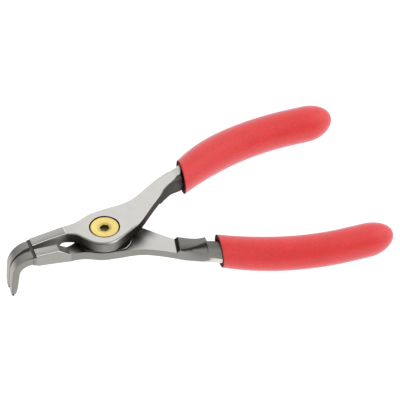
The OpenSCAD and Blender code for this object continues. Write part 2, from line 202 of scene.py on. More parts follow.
class Finishes(PropertyGroup):
    """Colours of the materials."""
    ground: tint("Ground steel", "#D4D2CD", "Satin ground faces of the levers")
    forged: tint("Forged steel", "#979590", "Forged and phosphated walls of the levers")
    # Colour of the highlights painted along the edges
    painted_highlight: tint("Polished edge", "#F2F0EC", "Edges rubbed bright")
    # Colour of the shade painted on walls, in grooves and corners, round the joint and round the screw
    scale: tint("Oil and scale", "#26251F", "Dark scale and oil in grooves and corners")
    zinc: tint("Yellow zinc", "#F5DE88", "Chromated zinc of the screw and the nut")
    wire: tint("Hard wire", "#23211F", "Blackened wire of the tip pins")
    vinyl: tint("Red vinyl", "#E63837", "Soft vinyl of the sleeves")
    # Colour of the shade painted in the mouth and hollow of the sleeves
    mouth: tint("Mouth grime", "#541416", "Dark rim and hollow of the sleeves")
    floor: tint("Floor", "#9A9A99", "Pale floor of the stage")


class StageSettings(PropertyGroup):
    """Camera of the stage."""
    distance: length("Camera distance", 1200, "Distance from the pivot to the camera")
    elevation: angle("Elevation", 43.5, "Height of the camera above the horizon")
    azimuth: angle("Azimuth", -18.5, "Turn of the camera round the pliers")
    pixel: length("Pixel", 0.35, "Width of one picture element at the pivot")
    pivot_x: number("Pivot across", 104.5, "Place of the pivot across the picture, of 400")
    pivot_y: number("Pivot down", 226.6, "Place of the pivot down the picture, of 400")


class PliersSettings(PropertyGroup):
    """All settings of the pliers."""
    lever: PointerProperty(type=LeverSizes, name="Levers", description="Sizes of the levers")
    grip: PointerProperty(type=GripSizes, name="Grips", description="Sizes of the grips")
    pivot: PointerProperty(type=PivotSizes, name="Pivot", description="Sizes of the screw and the pins")
    finish: PointerProperty(type=Finishes, name="Finishes", description="Colours of the materials")
    stage: PointerProperty(type=StageSettings, name="Stage", description="Camera")


def smooth_step(low, high, x):
    """0 below low, 1 above high, and an S-shaped cubic between them."""
    t = np.clip((x - low) / (high - low), 0, 1)
    return t * t * (3 - 2 * t)


def plateau(start, full, fade, end, x):
    """0 before start, 1 from full to fade and 0 after end, with S-shaped cubics between them."""
    return smooth_step(start, full, x) * (1 - smooth_step(fade, end, x))


def near_pivot(full, end, x):
    """1 within the first distance of the pivot, 0 beyond the second one."""
    return 1 - smooth_step(full, end, np.abs(x))


def ramps(stations, x, unit=1.0):
    """Straight lines through [x, value] stations, whose x is given in the unit."""
    p = np.array(stations, float)
    return np.interp(x, p[:, 0] * unit, p[:, 1])


def curve(stations, x):
    """Cubic through [x, value] stations. The slope at each one is that of the line between its neighbours."""
    p = np.array(stations, float)
    k = np.arange(len(p))
    before, after = np.maximum(k - 1, 0), np.minimum(k + 1, len(p) - 1)
    slope = (p[after, 1] - p[before, 1]) / (p[after, 0] - p[before, 0])
    i = np.clip(np.searchsorted(p[:, 0], x, side="right") - 1, 0, len(p) - 2)
    h = p[i + 1, 0] - p[i, 0]
    u = np.clip((x - p[i, 0]) / h, 0, 1)
    v = 1 - u
    ends = p[i, 1] * (1 + 2 * u) * v * v + p[i + 1, 1] * (1 + 2 * v) * u * u
    return ends + h * u * v * (slope[i] * v - slope[i + 1] * u)


def handle_line(s, x):
    """Distance of the handle's middle line from the axis at x: an arc that ends parallel to the axis.
    The second value is how much longer a width is when it is cut across the axis."""
    steepest = 0.9
    d = np.clip(s.handle_flat - x, 0, steepest * s.handle_r)
    rise = np.sqrt(s.handle_r ** 2 - d * d)
    return s.handle_spread / 2 - s.handle_r + rise, s.handle_r / rise


def half_plan(s, x, more=0.0):
    """Inner and outer edge of a half seen from above, as smooth curves through stations along the axis: the
    jaw, the boss in shares of its radius, and the arm by its reach from the handle line. The last value moves
    the outer edge of the arm further out."""
    places = np.array([ARM_AT, NECK_AT, OVAL_AT, EVEN_AT])
    middle, longer = handle_line(s, places)
    half = s.tang_w / 2 * longer[2:]
    jaw_in, jaw_out = s.jaw_gap / 2, s.jaw_gap / 2 + s.jaw_w
    jaw_flare, jaw_end = 0.15 * MM, 1 * MM
    outer_boss = s.boss_r * np.array([[-1.03, 0.63], [-0.4, 0.9], [0.23, 1], [1.05, 1.07], [1.6, 1.24]])
    outer_boss[3:, 1] += np.array([more / 2, more])
    inner_boss = s.boss_r * np.array([
        [-1.2, -0.09], [-0.97, -0.39], [-0.68, -0.74], [-0.36, -0.945], [0, -1],
        [0.4, -0.88], [0.82, -0.64], [1.15, -0.44], [1.45, -0.23],
    ])
    outer_arm = np.stack([places, middle + np.array([s.arm_out, s.neck_out, *half])], 1)
    inner_arm = np.stack([places, middle - np.array([s.arm_in, s.neck_in, *half])], 1)
    outer = [[-s.bend_start, jaw_out], [-s.jaw_start, jaw_out + jaw_flare], *outer_boss, *outer_arm]
    inner = [[-s.bend_start, jaw_in], [-s.jaw_start - jaw_end, jaw_in], *inner_boss, *inner_arm]
    line, stretch = handle_line(s, x)
    tang_half = s.tang_w / 2 * stretch
    return (np.where(x > EVEN_AT, line - tang_half, curve(inner, x)),
            np.where(x > EVEN_AT, line + tang_half, curve(outer, x)))


def round_hole(x, radius, depth, chamfer, low, high):
    """Cut that a round hole about the pivot makes in a section at x: middle, half width at the chamfered rim
    and below it, depth of the chamfer and of the floor. All but the middle are 0 beyond the hole."""
    reach = radius + chamfer - np.abs(x)
    rim = np.sqrt(np.clip((radius + chamfer) ** 2 - x * x, 0, None))
    wall = np.sqrt(np.clip(radius ** 2 - x * x, 0, None))
    bevel = np.clip(reach, 0, chamfer)
    margin = 0.35 * (high - low)
    return np.clip(0 * x, low + margin, high - margin), rim, wall, bevel, np.where(wall > 0, depth, bevel)


def hole_radius(p, upper):
    """Radius of the counterbore for the screw head, or of the recess for the nut."""
    return p.head_d / 2 + p.head_gap if upper else p.nut_d / 2 + p.nut_gap


def section(y0, y1, z0, z1, ry, rz, hole_up=None, hole_down=None):
    """Rounded box sections, one for each station: four elliptic corners joined by straight sides, which have
    support points by the corners, and a rectangular cut in the top and the bottom where a hole passes.
    Gives points across and up, the upward part of each point's normal and its side from 0 to 3."""
    # Support points lie at most this share of a side from its corners
    most = 0.3
    rows, lift, side = [], [], []
    turns = [np.radians(90 * q + np.linspace(0, 90, CORNER)) for q in range(4)]

    def corner(q):
        """Points of one corner."""
        across = y1 - ry[:, q] if q in (0, 3) else y0 + ry[:, q]
        up = z1 - rz[:, q] if q < 2 else z0 + rz[:, q]
        return np.stack([across[:, None] + ry[:, q, None] * np.cos(turns[q]),
                         up[:, None] + rz[:, q, None] * np.sin(turns[q])], -1)

    def add(points, normal_up, number):
        """Adds points to every section."""
        rows.append(points)
        lift.append(np.broadcast_to(normal_up, points.shape[:2]))
        side.append(np.full(points.shape[:2], number))

    corners = [corner(q) for q in range(4)]
    for q in range(4):
        add(corners[q], np.sin(turns[q]), q)
        a, b = corners[q][:, -1], corners[(q + 1) % 4][:, 0]
        span = np.linalg.norm(b - a, axis=1, keepdims=True)
        step = np.minimum(SUPPORT / np.maximum(span, SLIVER), most)
        flat = (1.0, 0.0, -1.0, 0.0)[q]
        first, last = a + (b - a) * step, b - (b - a) * step
        add(first[:, None], flat, q)
        hole = hole_up if q == 0 else hole_down if q == 2 else None
        if hole is not None:
            yc, rim, wall, bevel, depth = hole
            way, level = (1, z1) if q == 0 else (-1, z0)
            cut = [(rim, 0 * rim), (wall, bevel), (wall, depth)]
            cut += [(-w, d) for w, d in reversed(cut)]
            add(np.stack([np.stack([yc + way * w, level - way * d], -1) for w, d in cut], 1), flat, q)
        elif q in (0, 2):
            # As many points as a cut has, so that every section has the same number
            add(np.repeat((first + last)[:, None] / 2, 6, 1), flat, q)
        add(last[:, None], flat, q)
    return np.concatenate(rows, 1), np.concatenate(lift, 1), np.concatenate(side, 1).astype(int)


def ring_faces(n, m, start=0):
    """Quads between n closed rings of m points, and the two end caps."""
    i, j = np.meshgrid(np.arange(n - 1), np.arange(m), indexing="ij")
    k = (j + 1) % m
    quads = np.stack([i * m + j, i * m + k, (i + 1) * m + k, (i + 1) * m + j], -1).reshape(-1, 4) + start
    caps = [list(range(start + m - 1, start - 1, -1)), list(range(start + (n - 1) * m, start + n * m))]
    return quads.tolist() + caps


def build(name, shells, material, body, nodes, sharp=32, lining=None):
    """One object from closed lofts. Each shell is a grid of rings with the values of its point attributes.
    Doubles are merged, normals turned outwards, and edges sharper than the given angle are kept. A lining
    gives a second material and the number of ring gaps, from the first ring on, that take it."""
    points, faces, values = [], [], {}
    for grid, attributes in shells:
        start = sum(len(p) for p in points)
        faces += ring_faces(grid.shape[0], grid.shape[1], start)
        points.append(grid.reshape(-1, 3))
        for key, value in attributes.items():
            values.setdefault(key, []).append(np.broadcast_to(value, grid.shape[:2]).ravel())
    mesh = bpy.data.meshes.new(name)
    mesh.from_pydata(np.concatenate(points).tolist(), [], faces)
    for key, value in values.items():
        layer = mesh.attributes.new(key, "FLOAT", "POINT")
        layer.data.foreach_set("value", np.concatenate(value).astype(np.float32))
    mesh.materials.append(material)
    if lining:
        mesh.materials.append(lining[0])
        places = np.zeros(len(mesh.polygons), np.int32)
        places[:lining[1] * shells[0][0].shape[1]] = 1
        mesh.polygons.foreach_set("material_index", places)
    work = bmesh.new()
    work.from_mesh(mesh)
    bmesh.ops.remove_doubles(work, verts=work.verts, dist=MERGE)
    bmesh.ops.dissolve_degenerate(work, edges=work.edges, dist=SLIVER)
    bmesh.ops.recalc_face_normals(work, faces=work.faces)
    work.to_mesh(mesh)
    work.free()
    mesh.shade_smooth()
    mesh.set_sharp_from_angle(angle=math.radians(sharp))
    made = bpy.data.objects.new(name, mesh)
    bpy.context.scene.collection.objects.link(made)
    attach(made, body)
    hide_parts(*nodes)


def add_node(tree, kind, inputs=None, **settings):
    """Adds a node with its settings, and fills its inputs with values or with links from other nodes. A node
    that is given instead of a socket is linked from its first output."""
    made = tree.nodes.new("ShaderNode" + kind)
    for key, value in settings.items():
        setattr(made, key, value)
    for key, value in (inputs or {}).items():
        value = value.outputs[0] if isinstance(value, bpy.types.Node) else value
        if isinstance(value, bpy.types.NodeSocket):
            tree.links.new(value, made.inputs[key])
        else:
            made.inputs[key].default_value = value
    return made


def new_material(name):
    """A material without nodes, its node tree, and the Object coordinates in it."""
    made = bpy.data.materials.get(name) or bpy.data.materials.new(name)
    made.use_nodes = True
    made.node_tree.nodes.clear()
    return made, made.node_tree, add_node(made.node_tree, "TexCoord").outputs["Object"]


def finish_material(tree, inputs):
    """Principled surface with the given inputs, linked to the output."""
    surface = add_node(tree, "BsdfPrincipled", inputs)
    add_node(tree, "OutputMaterial", {"Surface": surface})


def rgba(colour):
    """A colour with full opacity, as colour sockets take it."""
    return (*colour, 1.0)


def lever_steel(f):
    """Forged tool steel: satin ground faces, darker phosphated walls, painted highlights along edges and
    painted shade on walls, in grooves and round the joint. The eye sees soft grey with fine grinding grain
    and a broad, dull shine."""
    material, tree, place = new_material("forged_steel_ground_and_phosphated")
    zone = {name: add_node(tree, "Attribute", attribute_name=name).outputs["Fac"]
            for name in ("ground", "edge", "scale")}
    # Blotches of about 4 mm, and grinding grain of about 0.25 mm drawn out eight times along the tool
    cloud = add_node(tree, "TexNoise", {"Vector": place, "Scale": 1 / (4 * MM), "Detail": 3.0})
    along = add_node(tree, "Mapping", {"Vector": place, "Scale": (0.12, 1, 1)})
    grain = add_node(tree, "TexNoise", {"Vector": along, "Scale": 1 / (0.25 * MM), "Detail": 2.0})
    # From forged grey to the ground finish, the painted highlight and the painted shade, each as far as its
    # zone says
    finish = rgba(f.forged)
    for name, colour in (("ground", f.ground), ("edge", f.painted_highlight), ("scale", f.scale)):
        mix = add_node(tree, "Mix", {0: zone[name], 6: finish, 7: rgba(colour)}, data_type="RGBA")
        finish = mix.outputs[2]
    mottle = add_node(tree, "MapRange", {"Value": cloud, "To Min": 0.93, "To Max": 1.06})
    streak = add_node(tree, "MapRange", {"Value": grain, "To Min": 0.94, "To Max": 1.05})
    tone = add_node(tree, "Math", {0: mottle, 1: streak}, operation="MULTIPLY")
    colour = add_node(tree, "VectorMath", {0: finish, 3: tone}, operation="SCALE")
    # Ground faces and the edges with painted highlights are smoother than forged walls, and the grain
    # roughens all of them
    dull = add_node(tree, "MapRange", {"Value": zone["ground"], "To Min": 0.46, "To Max": 0.3})
    shine = add_node(tree, "Math", {0: zone["edge"], 1: -0.12, 2: dull}, operation="MULTIPLY_ADD")
    rough = add_node(tree, "Math", {0: grain, 1: 0.1, 2: shine}, operation="MULTIPLY_ADD")
    bump = add_node(tree, "Bump", {"Height": grain, "Strength": 0.25, "Distance": 0.01 * MM})
    # Painted shade also dims the bright edge that metal shows at grazing angles
    rim = add_node(tree, "Mix", {0: zone["scale"], 6: (1, 1, 1, 1), 7: rgba(f.scale)}, data_type="RGBA")
    finish_material(tree, {"Base Color": colour, "Metallic": 1.0, "Roughness": rough,
                           "Specular Tint": rim.outputs[2], "Normal": bump})
    return material


def yellow_zinc(f):
    """Turned steel with chromated zinc: warm yellow with a faint rainbow cloud and fine turning rings."""
    material, tree, place = new_material("yellow_chromated_zinc")
    cloud = add_node(tree, "TexNoise", {"Vector": place, "Scale": 1 / (2.5 * MM), "Detail": 2.0})
    hue = add_node(tree, "MapRange", {"Value": cloud, "From Min": 0.3, "From Max": 0.7,
                                      "To Min": 0.485, "To Max": 0.512})
    shift = add_node(tree, "HueSaturation", {"Hue": hue, "Color": rgba(f.zinc)})
    # Painted shade in the socket, round it and in the gap round the head
    screw_shade = add_node(tree, "Attribute", attribute_name="screw_shade").outputs["Fac"]
    shaded_zinc = add_node(tree, "Mix", {0: screw_shade, 6: shift, 7: rgba(f.scale)}, data_type="RGBA")
    # Turning rings 0.2 mm apart, a little coarser than real ones so that they show
    rings = add_node(tree, "TexWave", {"Vector": place, "Scale": 1 / (0.2 * MM) / 20, "Distortion": 0.3},
                     wave_type="RINGS", rings_direction="Z")
    bump = add_node(tree, "Bump", {"Height": rings.outputs["Fac"], "Strength": 0.12, "Distance": 0.01 * MM})
    finish_material(tree, {"Base Color": shaded_zinc.outputs[2], "Metallic": 1.0, "Roughness": 0.36, "Normal": bump})
    return material


def black_wire(f):
    """Hard wire, blackened: nearly black with a dull metal shine and drawing marks along it."""
    material, tree, place = new_material("blackened_hard_wire")
    drawn = add_node(tree, "Mapping", {"Vector": place, "Scale": (1, 1, 0.1)})
    marks = add_node(tree, "TexNoise", {"Vector": drawn, "Scale": 1 / (0.15 * MM), "Detail": 2.0})
    tone = add_node(tree, "MapRange", {"Value": marks, "To Min": 0.7, "To Max": 1.4})
    colour = add_node(tree, "VectorMath", {0: f.wire, 3: tone}, operation="SCALE")
    finish_material(tree, {"Base Color": colour, "Metallic": 1.0, "Roughness": 0.45})
    return material


def red_vinyl(f):
    """Dip-moulded soft vinyl: saturated red with a fine pebble grain and a pale bloom at grazing angles."""
    material, tree, place = new_material("red_soft_vinyl_dip_moulded")
    # Clouds of about 6 mm, and pebbles of about 0.8 mm, coarser than real ones so that they show
    cloud = add_node(tree, "TexNoise", {"Vector": place, "Scale": 1 / (6 * MM), "Detail": 3.0})
    pebble = add_node(tree, "TexNoise", {"Vector": place, "Scale": 1 / (0.8 * MM), "Detail": 3.0})
    tone = add_node(tree, "MapRange", {"Value": cloud, "To Min": 0.92, "To Max": 1.08})
    speck = add_node(tree, "MapRange", {"Value": pebble, "From Min": 0.3, "From Max": 0.7,
                                        "To Min": 0.93, "To Max": 1.07})
    mottle = add_node(tree, "Math", {0: tone, 1: speck}, operation="MULTIPLY")
    clean = add_node(tree, "VectorMath", {0: f.vinyl, 3: mottle}, operation="SCALE")
    # Painted shade at the mouth and in the hollow, in the dark mouth colour
    hollow_shade = add_node(tree, "Attribute", attribute_name="hollow_shade").outputs["Fac"]
    colour = add_node(tree, "Mix", {0: hollow_shade, 6: clean, 7: rgba(f.mouth)}, data_type="RGBA")
    rough = add_node(tree, "MapRange", {"Value": pebble, "To Min": 0.34, "To Max": 0.48})
    bump = add_node(tree, "Bump", {"Height": pebble, "Strength": 0.5, "Distance": 0.08 * MM})
    finish_material(tree, {"Base Color": colour.outputs[2], "Roughness": rough, "Normal": bump,
                           "Specular IOR Level": 0.35, "Sheen Weight": 0.55, "Sheen Roughness": 0.5,
                           "Sheen Tint": (0.6, 0.9, 1.0, 1.0)})
    return material


def shaded_mouth_vinyl(f):
    """Cut edge and lining of the sleeves: matt, dark maroon as painted shade, so the mouth shows as a dark
    line.
    """
    material, tree, place = new_material("red_vinyl_painted_mouth_shade")
    grit = add_node(tree, "TexNoise", {"Vector": place, "Scale": 1 / (0.8 * MM), "Detail": 2.0})
    tone = add_node(tree, "MapRange", {"Value": grit, "To Min": 0.6, "To Max": 1.4})
    colour = add_node(tree, "VectorMath", {0: f.mouth, 3: tone}, operation="SCALE")
    finish_material(tree, {"Base Color": colour, "Roughness": 0.9, "Specular IOR Level": 0.1})
    return material


def without_pairs(x, least):
    """Sorted values of x. One that follows another within the least distance is left out."""
    x = np.unique(x)
    return x[np.concatenate([[True], np.diff(x) > least])]


def lever_body(s, p, upper):
    """Jaw, plate, arm and tang of a half as sections across the axis, in the frame of the plane between the
    halves. Its face and lap heights are straight ramps between stations, and its corners grow into an oval
    towards the grip. Gives the rings, the upward part of their normals, their sides and their stations."""
    # Lengths of the jaw's ramp, the step and the arm's ramp, and heights where the step and that ramp end
    jaw_ramp, step_len, arm_ramp = 3.8 * MM, 0.9 * MM, 9 * MM
    step_h, ramp_h = 0.4 * MM, 0.76 * s.plate_t
    # Shift of the upper foot, places where the recess deepens, even part of the tang and length of its end
    upper_foot, sink_start, sink_end = 1.1 * MM, 2 * MM, 9 * MM
    tang_even, tang_taper = 37 * MM, 2 * MM
    groove_end = -s.bend_start + s.groove_w
    foot, step = -s.lap_front, s.lap_back
    ramp_top, step_top = foot - jaw_ramp, step + step_len
    hole, hole_bevel = hole_radius(p, upper), 0.08 * MM
    # Runs of stations along the axis: start, end and number
    runs = (
        (-s.bend_start + CREASE, groove_end - CREASE, 5), (groove_end + CREASE, ramp_top - CREASE, 24),
        (ramp_top + CREASE, foot - CREASE, 12), (foot + CREASE, -s.jaw_start - CREASE, 3),
        (-s.jaw_start + CREASE, -hole, 24), (-hole, hole, 9), (hole, step - CREASE, 50),
        (step + CREASE, step_top, 6), (step_top + CREASE, s.neck_end - CREASE, 34),
        (s.neck_end + CREASE, tang_even, 20), (tang_even, s.tang_end - tang_taper, 40),
        (s.tang_end, s.tang_end, 1),
    )
    round_hole_x = (hole + hole_bevel) * np.sin(np.linspace(-np.pi / 2, np.pi / 2, 49))
    x = without_pairs(np.concatenate([np.linspace(*run) for run in runs]), HAIR)
    x = without_pairs(np.concatenate([x, round_hole_x]), HAIR / 2)
    # Behind the boss the sections lean, so that the step and the ramp run round the pivot
    lean = s.step_lean * plateau(9 * MM, 20 * MM, 32 * MM, 38 * MM, x)
    more = 0.0 if upper else s.lower_out
    inner, outer = half_plan(s, x, more)
    slide = lean * (outer - inner) / 2
    inner, outer = half_plan(s, x + slide, more)[0], half_plan(s, x - slide, more)[1]
    if not upper:
        inner = inner + s.neck_cut * plateau(s.neck_end - CREASE, s.neck_end + CREASE, 38 * MM, 42 * MM, x)
    jaw_up, jaw_down = s.jaw_top, s.jaw_t - s.jaw_top
    groove = s.groove_d * (1 - smooth_step(groove_end - CREASE, groove_end + CREASE, x))

    def face(jaw):
        """Height of the ground face from the plane between the halves."""
        return ramps([[-s.bend_start, jaw], [-s.jaw_start, s.plate_t], [step + 3 * MM, s.plate_t],
                      [OVAL_AT, s.tang_h / 2]], x) - groove

    def lap(jaw):
        """Height of the lap face. The upper half has no recess before its boss."""
        front, back = (-s.lap_gap / 2, -s.seat_h) if upper else (-s.seat_h, -s.recess)
        return ramps([[ramp_top, jaw], [foot - (upper_foot if upper else 0), front], [sink_start, front],
                      [sink_end, back], [step, back], [step_top, step_h], [step + arm_ramp, ramp_h],
                      [OVAL_AT, s.tang_h / 2]], x) - groove

    up, down = (face(jaw_up), lap(jaw_down)) if upper else (lap(jaw_up), face(jaw_down))
    # The last section is drawn in to close the tang
    close = np.where(x == x[-1], 0.6, 1.0)
    mid, half = (inner + outer) / 2, (outer - inner) / 2 * close
    y0, y1, z0, z1 = mid - half, mid + half, -down * close, up * close
    width, height = y1 - y0, z1 - z0
    # Shares of the half section that the corners round off: growing evenly into the oval of the tang, late on
    # the upper inner edge, with a shoulder on the lower inner edge, and early on the front edge of the ramp
    oval = ramps([[step, 0], [OVAL_AT - 1 * MM, 0.95]], x)
    crisp = ramps([[26, 0.08], [28.7, 0.14], [30.3, 0.31], [32, 0.6], [33.4, 0.6], [34.4, 0.95]], x, MM)
    shoulder = ramps([[step, 0], [s.neck_end - CREASE, 0.3], [s.neck_end + CREASE, 0.62], [OVAL_AT, 0.95]], x)
    front = ramps([[22.4, 0], [23.4, 0.14], [25.8, 0.34], [29.3, 0.8], [31.3, 0.95]], x, MM)
    # The front edge of the lower ramp is rounded further across than up, as far as the neck
    wide = ramps([[23.4, 0.14], [25.8, 0.42], [29.3, 1.05], [31.5, 1.35]], x, MM)
    wide = np.where((x < s.neck_end) & (x > 23.4 * MM), wide, front)
    # Corners run outer top, inner top, inner bottom, outer bottom
    tall = (oval, crisp, oval, front) if upper else (front, shoulder, oval, oval)
    broad = tall if upper else (wide, *tall[1:])
    # Least rounding of each edge: more round the boss, and along the jaw a bevel, given across and up. Two
    # roundings take up at most ten elevenths of a side.
    boss_edge, most = 0.35 * MM, 1 / 2.2
    jaw_bevel, jaw_edge = (0.6 * MM, 0.26 * MM), (0.28 * MM, 0.28 * MM)
    on_jaw = 1 - smooth_step(-s.jaw_start - 0.3 * MM, -s.jaw_start + 0.8 * MM, x)
    on_boss = near_pivot(*BOSS_FADE, x)
    ry, rz = np.empty((len(x), 4)), np.empty((len(x), 4))
    for q in range(4):
        plain = s.lap_edge if (q > 1) == upper else s.face_edge + (boss_edge * on_boss if q in (1, 2) else 0)
        bevel = jaw_bevel if q == (1 if upper else 0) else jaw_edge
        for size, span, least, part in ((ry, width, bevel[0], broad[q]), (rz, height, bevel[1], tall[q])):
            edge = plain + (least - plain) * on_jaw
            size[:, q] = np.maximum(np.minimum(edge, span * most), part * span / 2)
    depth = p.head_sink + (p.head_h + p.washer_t if upper else p.nut_h)
    bore = round_hole(x, hole, depth, hole_bevel, y0 + ry[:, 1], y1 - ry[:, 0])
    points, lift, side = section(y0, y1, z0, z1, ry, rz, bore if upper else None, None if upper else bore)
    along = x[:, None] + slide[:, None] * (1 - 2 * (points[..., 0] - y0[:, None]) / width[:, None])
    return np.concatenate([along[..., None], points], -1), lift, side, x


def straight_tip(s):
    """Length of the straight part of a tip, after the bend."""
    return (s.tip_drop - s.bend_r * (1 - math.cos(s.bend_deg))) / math.sin(s.bend_deg)


def lever_tip(s):
    """Bent end of a half: the section runs round the bend and down the straight tip, growing thinner and
    narrower, and its last third is drawn to a point."""
    # Where the point begins, how much slimmer the tip is there, how far the bend is set in from the jaw, and
    # how far the last section is drawn in
    point, slim_t, slim_w = 0.7, 0.35 * MM, 0.3 * MM
    jaw_inset, end_chamfer = 0.25 * MM, 0.82
    tip_in = s.tip_gap / 2
    # Shares of the straight part, from its end to the bend, and shares of the bend, from its end to the jaw
    t = np.concatenate([[1.0, 0.985], np.linspace(0.95, point, 12), np.linspace(0.68, 0.02, 16)])
    f = np.linspace(1, 0, 40)
    thick = ramps([[0, s.tip_t], [point, s.tip_t - slim_t], [1, s.tip_end]], t)
    near = ramps([[point, tip_in], [1, (s.pin_spacing - s.tip_end) / 2]], t)
    far = ramps([[0, tip_in + s.tip_w], [point, tip_in + s.tip_w - slim_w],
                 [1, (s.pin_spacing + s.tip_end) / 2]], t)
    jaw_in, jaw_out = s.jaw_gap / 2, s.jaw_gap / 2 + s.jaw_w - jaw_inset
    y0 = np.concatenate([near, jaw_in + (tip_in - jaw_in) * f])
    y1 = np.concatenate([far, jaw_out + (tip_in + s.tip_w - jaw_out) * f])
    under, over = s.groove_d - (s.jaw_t - s.jaw_top), s.jaw_top - s.groove_d
    z0 = np.concatenate([-thick / 2, under + (-s.tip_t / 2 - under) * f])
    z1 = np.concatenate([thick / 2, over + (s.tip_t / 2 - over) * f])
    shrink = np.ones(len(y0))
    shrink[0] = end_chamfer
    mid_y, mid_z = (y0 + y1) / 2, (z0 + z1) / 2
    y0, y1 = mid_y + (y0 - mid_y) * shrink, mid_y + (y1 - mid_y) * shrink
    z0, z1 = mid_z + (z0 - mid_z) * shrink, mid_z + (z1 - mid_z) * shrink
    r = np.repeat(np.minimum(s.tip_edge, (z1 - z0) / 2.4)[:, None], 4, 1)
    points, lift, side = section(y0, y1, z0, z1, r, r)
    turn = np.concatenate([np.full(len(t), s.bend_deg), f * s.bend_deg])[:, None]
    down = np.concatenate([t * straight_tip(s), np.zeros(len(f))])[:, None]
    px = -s.bend_start - s.bend_r * np.sin(turn) - down * np.cos(turn)
    pz = -s.bend_r * (1 - np.cos(turn)) - down * np.sin(turn)
    across, up = points[..., 0], points[..., 1]
    return np.stack([px - up * np.sin(turn), across, pz + up * np.cos(turn)], -1), lift, side


def seat_disc(s):
    """Raised seat on the lap face, as sections across the axis whose ends lie on the seat's circle and stop
    short of the walls of the boss. Gives the rings and where their lower rim is."""
    clear, sunk, edge, within = 0.4 * MM, 0.2 * MM, 0.1 * MM, 0.999
    x = within * s.seat_r * np.sin(np.linspace(-np.pi / 2, np.pi / 2, 60))
    inner, outer = half_plan(s, x)
    chord = np.sqrt(s.seat_r ** 2 - x * x)
    y0, y1 = np.maximum(-chord, inner + clear), np.minimum(chord, outer - clear)
    z0, z1 = np.full(len(x), s.lap_gap / 2), np.full(len(x), s.recess + sunk)
    r = np.repeat(np.minimum(edge, (y1 - y0) / 3)[:, None], 4, 1)
    points, lift, _ = section(y0, y1, z0, z1, r, r)
    rim = (lift < -0.2) & (lift > -0.98)
    return np.concatenate([np.broadcast_to(x[:, None, None], points.shape[:2] + (1,)), points], -1), rim


def placed(s, grid, upper):
    """A grid of a half in the frame of the part: mirrored for the lower half, and lowered by one plate."""
    return grid * np.array([1, 1 if upper else -1, 1]) - np.array([0, 0, s.plate_t])


def within_section(values):
    """Where each point lies between the least and the greatest value of its section, from 0 to 1."""
    low, high = values.min(1, keepdims=True), values.max(1, keepdims=True)
    return (values - low) / (high - low)


